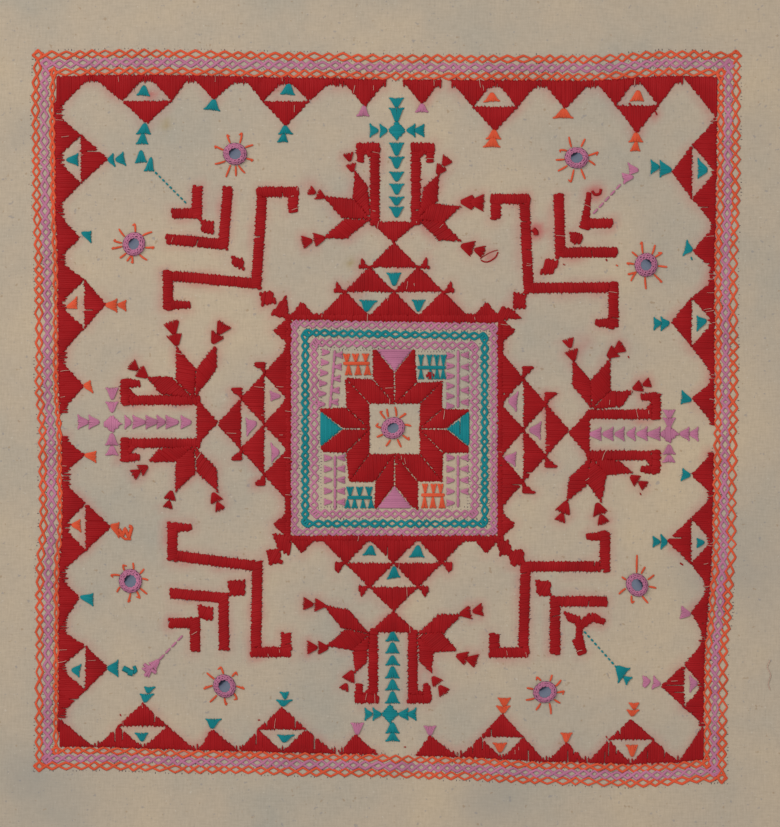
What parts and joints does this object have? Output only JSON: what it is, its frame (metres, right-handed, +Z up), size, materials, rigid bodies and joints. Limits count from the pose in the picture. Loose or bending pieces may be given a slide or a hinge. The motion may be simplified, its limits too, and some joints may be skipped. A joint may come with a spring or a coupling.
{
  "type": "embroidered rumal",
  "caption": "Nearly square cotton cloth worked in satin stitch with laced borders, a zigzag frame, a star medallion, palms, corner hooks and round mirrors.",
  "frame": {"origin": "middle of the cloth, on the surface it lies on", "axes": "+Z up out of the worked face, +Y towards the top of the picture, +X to its right"},
  "size_m": [0.4, 0.42, 0.005],
  "materials": {
    "band_inner": "orange floss, laced",
    "band_middle": "mauve floss",
    "band_outer": "orange floss, laced",
    "ground_cloth": "undyed handwoven cotton, matte",
    "hook_large_bottom_left": "deep red silky floss, satin stitch",
    "hook_large_bottom_right": "deep red silky floss, satin stitch",
    "hook_large_top_left": "deep red silky floss, satin stitch",
    "hook_large_top_right": "deep red silky floss, satin stitch",
    "hook_middle_bottom_left": "deep red silky floss, satin stitch",
    "hook_middle_bottom_right": "deep red silky floss, satin stitch",
    "hook_middle_top_left": "deep red silky floss, satin stitch",
    "hook_middle_top_right": "deep red silky floss, satin stitch",
    "hook_small_bottom_left": "deep red silky floss, satin stitch",
    "hook_small_bottom_right": "deep red silky floss, satin stitch",
    "hook_small_top_left": "deep red silky floss, satin stitch",
    "hook_small_top_right": "deep red silky floss, satin stitch",
    "medallion_band_inner": "mauve floss",
    "medallion_band_middle": "teal floss",
    "medallion_band_outer": "mauve floss",
    "medallion_surround": "deep red silky floss, satin stitch",
    "mirror_1": "thin silvered glass",
    "mirror_2": "thin silvered glass",
    "mirror_3": "thin silvered glass",
    "mirror_4": "thin silvered glass",
    "mirror_5": "thin silvered glass",
    "mirror_6": "thin silvered glass",
    "mirror_7": "thin silvered glass",
    "mirror_8": "thin silvered glass",
    "mirror_9": "thin silvered glass",
    "mirror_ring_1": "mauve floss",
    "mirror_ring_2": "mauve floss",
    "mirror_ring_3": "mauve floss",
    "mirror_ring_4": "mauve floss",
    "mirror_ring_5": "mauve floss",
    "mirror_ring_6": "mauve floss",
    "mirror_ring_7": "mauve floss",
    "mirror_ring_8": "mauve floss",
    "mirror_ring_9": "mauve floss",
    "palm_bottom": "deep red silky floss, satin stitch",
    "palm_left": "deep red silky floss, satin stitch",
    "palm_right": "deep red silky floss, satin stitch",
    "palm_top": "deep red silky floss, satin stitch",
    "star": "deep red silky floss, satin stitch",
    "star_wedge_bottom": "mauve floss",
    "star_wedge_left": "teal floss",
    "star_wedge_right": "teal floss",
    "star_wedge_top": "mauve floss",
    "stem_bottom": "teal floss",
    "stem_left": "mauve floss",
    "stem_right": "mauve floss",
    "stem_top": "teal floss",
    "zigzag_bottom_left": "deep red silky floss, satin stitch",
    "zigzag_bottom_right": "deep red silky floss, satin stitch",
    "zigzag_top_left": "deep red silky floss, satin stitch",
    "zigzag_top_middle": "deep red silky floss, satin stitch",
    "zigzag_top_right": "deep red silky floss, satin stitch"
  },
  "bodies": {
    "root": {"band_inner": "band_inner", "band_middle": "band_middle", "band_outer": "band_outer", "ground_cloth": "ground_cloth", "hook_large_bottom_left": "hook_large_bottom_left", "hook_large_bottom_right": "hook_large_bottom_right", "hook_large_top_left": "hook_large_top_left", "hook_large_top_right": "hook_large_top_right", "hook_middle_bottom_left": "hook_middle_bottom_left", "hook_middle_bottom_right": "hook_middle_bottom_right", "hook_middle_top_left": "hook_middle_top_left", "hook_middle_top_right": "hook_middle_top_right", "hook_small_bottom_left": "hook_small_bottom_left", "hook_small_bottom_right": "hook_small_bottom_right", "hook_small_top_left": "hook_small_top_left", "hook_small_top_right": "hook_small_top_right", "medallion_band_inner": "medallion_band_inner", "medallion_band_middle": "medallion_band_middle", "medallion_band_outer": "medallion_band_outer", "medallion_surround": "medallion_surround", "mirror_1": "mirror_1", "mirror_2": "mirror_2", "mirror_3": "mirror_3", "mirror_4": "mirror_4", "mirror_5": "mirror_5", "mirror_6": "mirror_6", "mirror_7": "mirror_7", "mirror_8": "mirror_8", "mirror_9": "mirror_9", "mirror_ring_1": "mirror_ring_1", "mirror_ring_2": "mirror_ring_2", "mirror_ring_3": "mirror_ring_3", "mirror_ring_4": "mirror_ring_4", "mirror_ring_5": "mirror_ring_5", "mirror_ring_6": "mirror_ring_6", "mirror_ring_7": "mirror_ring_7", "mirror_ring_8": "mirror_ring_8", "mirror_ring_9": "mirror_ring_9", "palm_bottom": "palm_bottom", "palm_left": "palm_left", "palm_right": "palm_right", "palm_top": "palm_top", "star": "star", "star_wedge_bottom": "star_wedge_bottom", "star_wedge_left": "star_wedge_left", "star_wedge_right": "star_wedge_right", "star_wedge_top": "star_wedge_top", "stem_bottom": "stem_bottom", "stem_left": "stem_left", "stem_right": "stem_right", "stem_top": "stem_top", "zigzag_bottom_left": "zigzag_bottom_left", "zigzag_bottom_right": "zigzag_bottom_right", "zigzag_top_left": "zigzag_top_left", "zigzag_top_middle": "zigzag_top_middle", "zigzag_top_right": "zigzag_top_right"}
  },
  "joints": []
}
